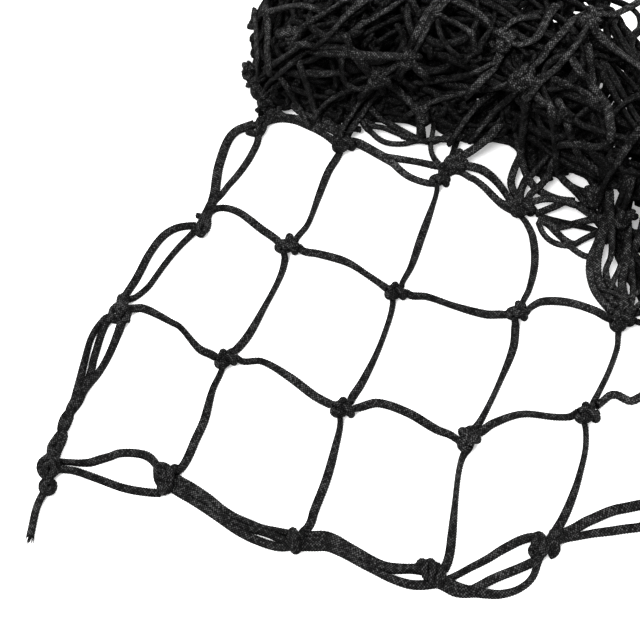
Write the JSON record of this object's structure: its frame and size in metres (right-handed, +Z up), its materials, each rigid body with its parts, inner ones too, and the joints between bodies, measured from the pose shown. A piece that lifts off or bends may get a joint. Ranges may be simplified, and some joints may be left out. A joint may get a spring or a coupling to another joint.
{
  "type": "cargo net",
  "caption": "Square-mesh cargo net of knotted braided cord, one corner laid flat with doubled border cords and a free tail, the rest folded into a heap.",
  "frame": {"origin": "on the floor under the middle of the net's box, tail left out", "axes": "+X along the net's rows, from its left selvedge towards the heap's right end; +Y along its columns, from the front border to the heap; +Z up"},
  "size_m": [0.5686, 0.5871, 0.1195],
  "materials": {
    "mesh_cord": "matte braid",
    "border_cord": "matte braid",
    "heap": "matte braid"
  },
  "bodies": {
    "root": {"heap_folds": "heap", "col_1": "mesh_cord", "col_2": "mesh_cord", "col_3": "mesh_cord", "col_4": "mesh_cord", "col_5": "mesh_cord", "row_1_a": "mesh_cord", "row_1_b": "mesh_cord", "row_1_c": "mesh_cord", "row_1_d": "mesh_cord", "row_1_e": "mesh_cord", "row_2_a": "mesh_cord", "row_2_b": "mesh_cord", "row_2_c": "mesh_cord", "row_2_d": "mesh_cord", "row_2_e": "mesh_cord", "row_3_a": "mesh_cord", "row_3_b": "mesh_cord", "row_3_c": "mesh_cord", "row_3_d": "mesh_cord", "border_front_main": "border_cord", "border_left_main": "border_cord", "border_front_a": "border_cord", "border_front_b": "border_cord", "border_front_c": "border_cord", "border_front_d": "border_cord", "border_front_e": "border_cord", "border_front_f": "border_cord", "border_front_g": "border_cord", "border_front_h": "border_cord", "border_front_i": "border_cord", "border_left_a": "border_cord", "border_left_b": "border_cord", "border_left_c": "border_cord", "border_left_d": "border_cord", "corner_tail": "border_cord"}
  },
  "joints": []
}
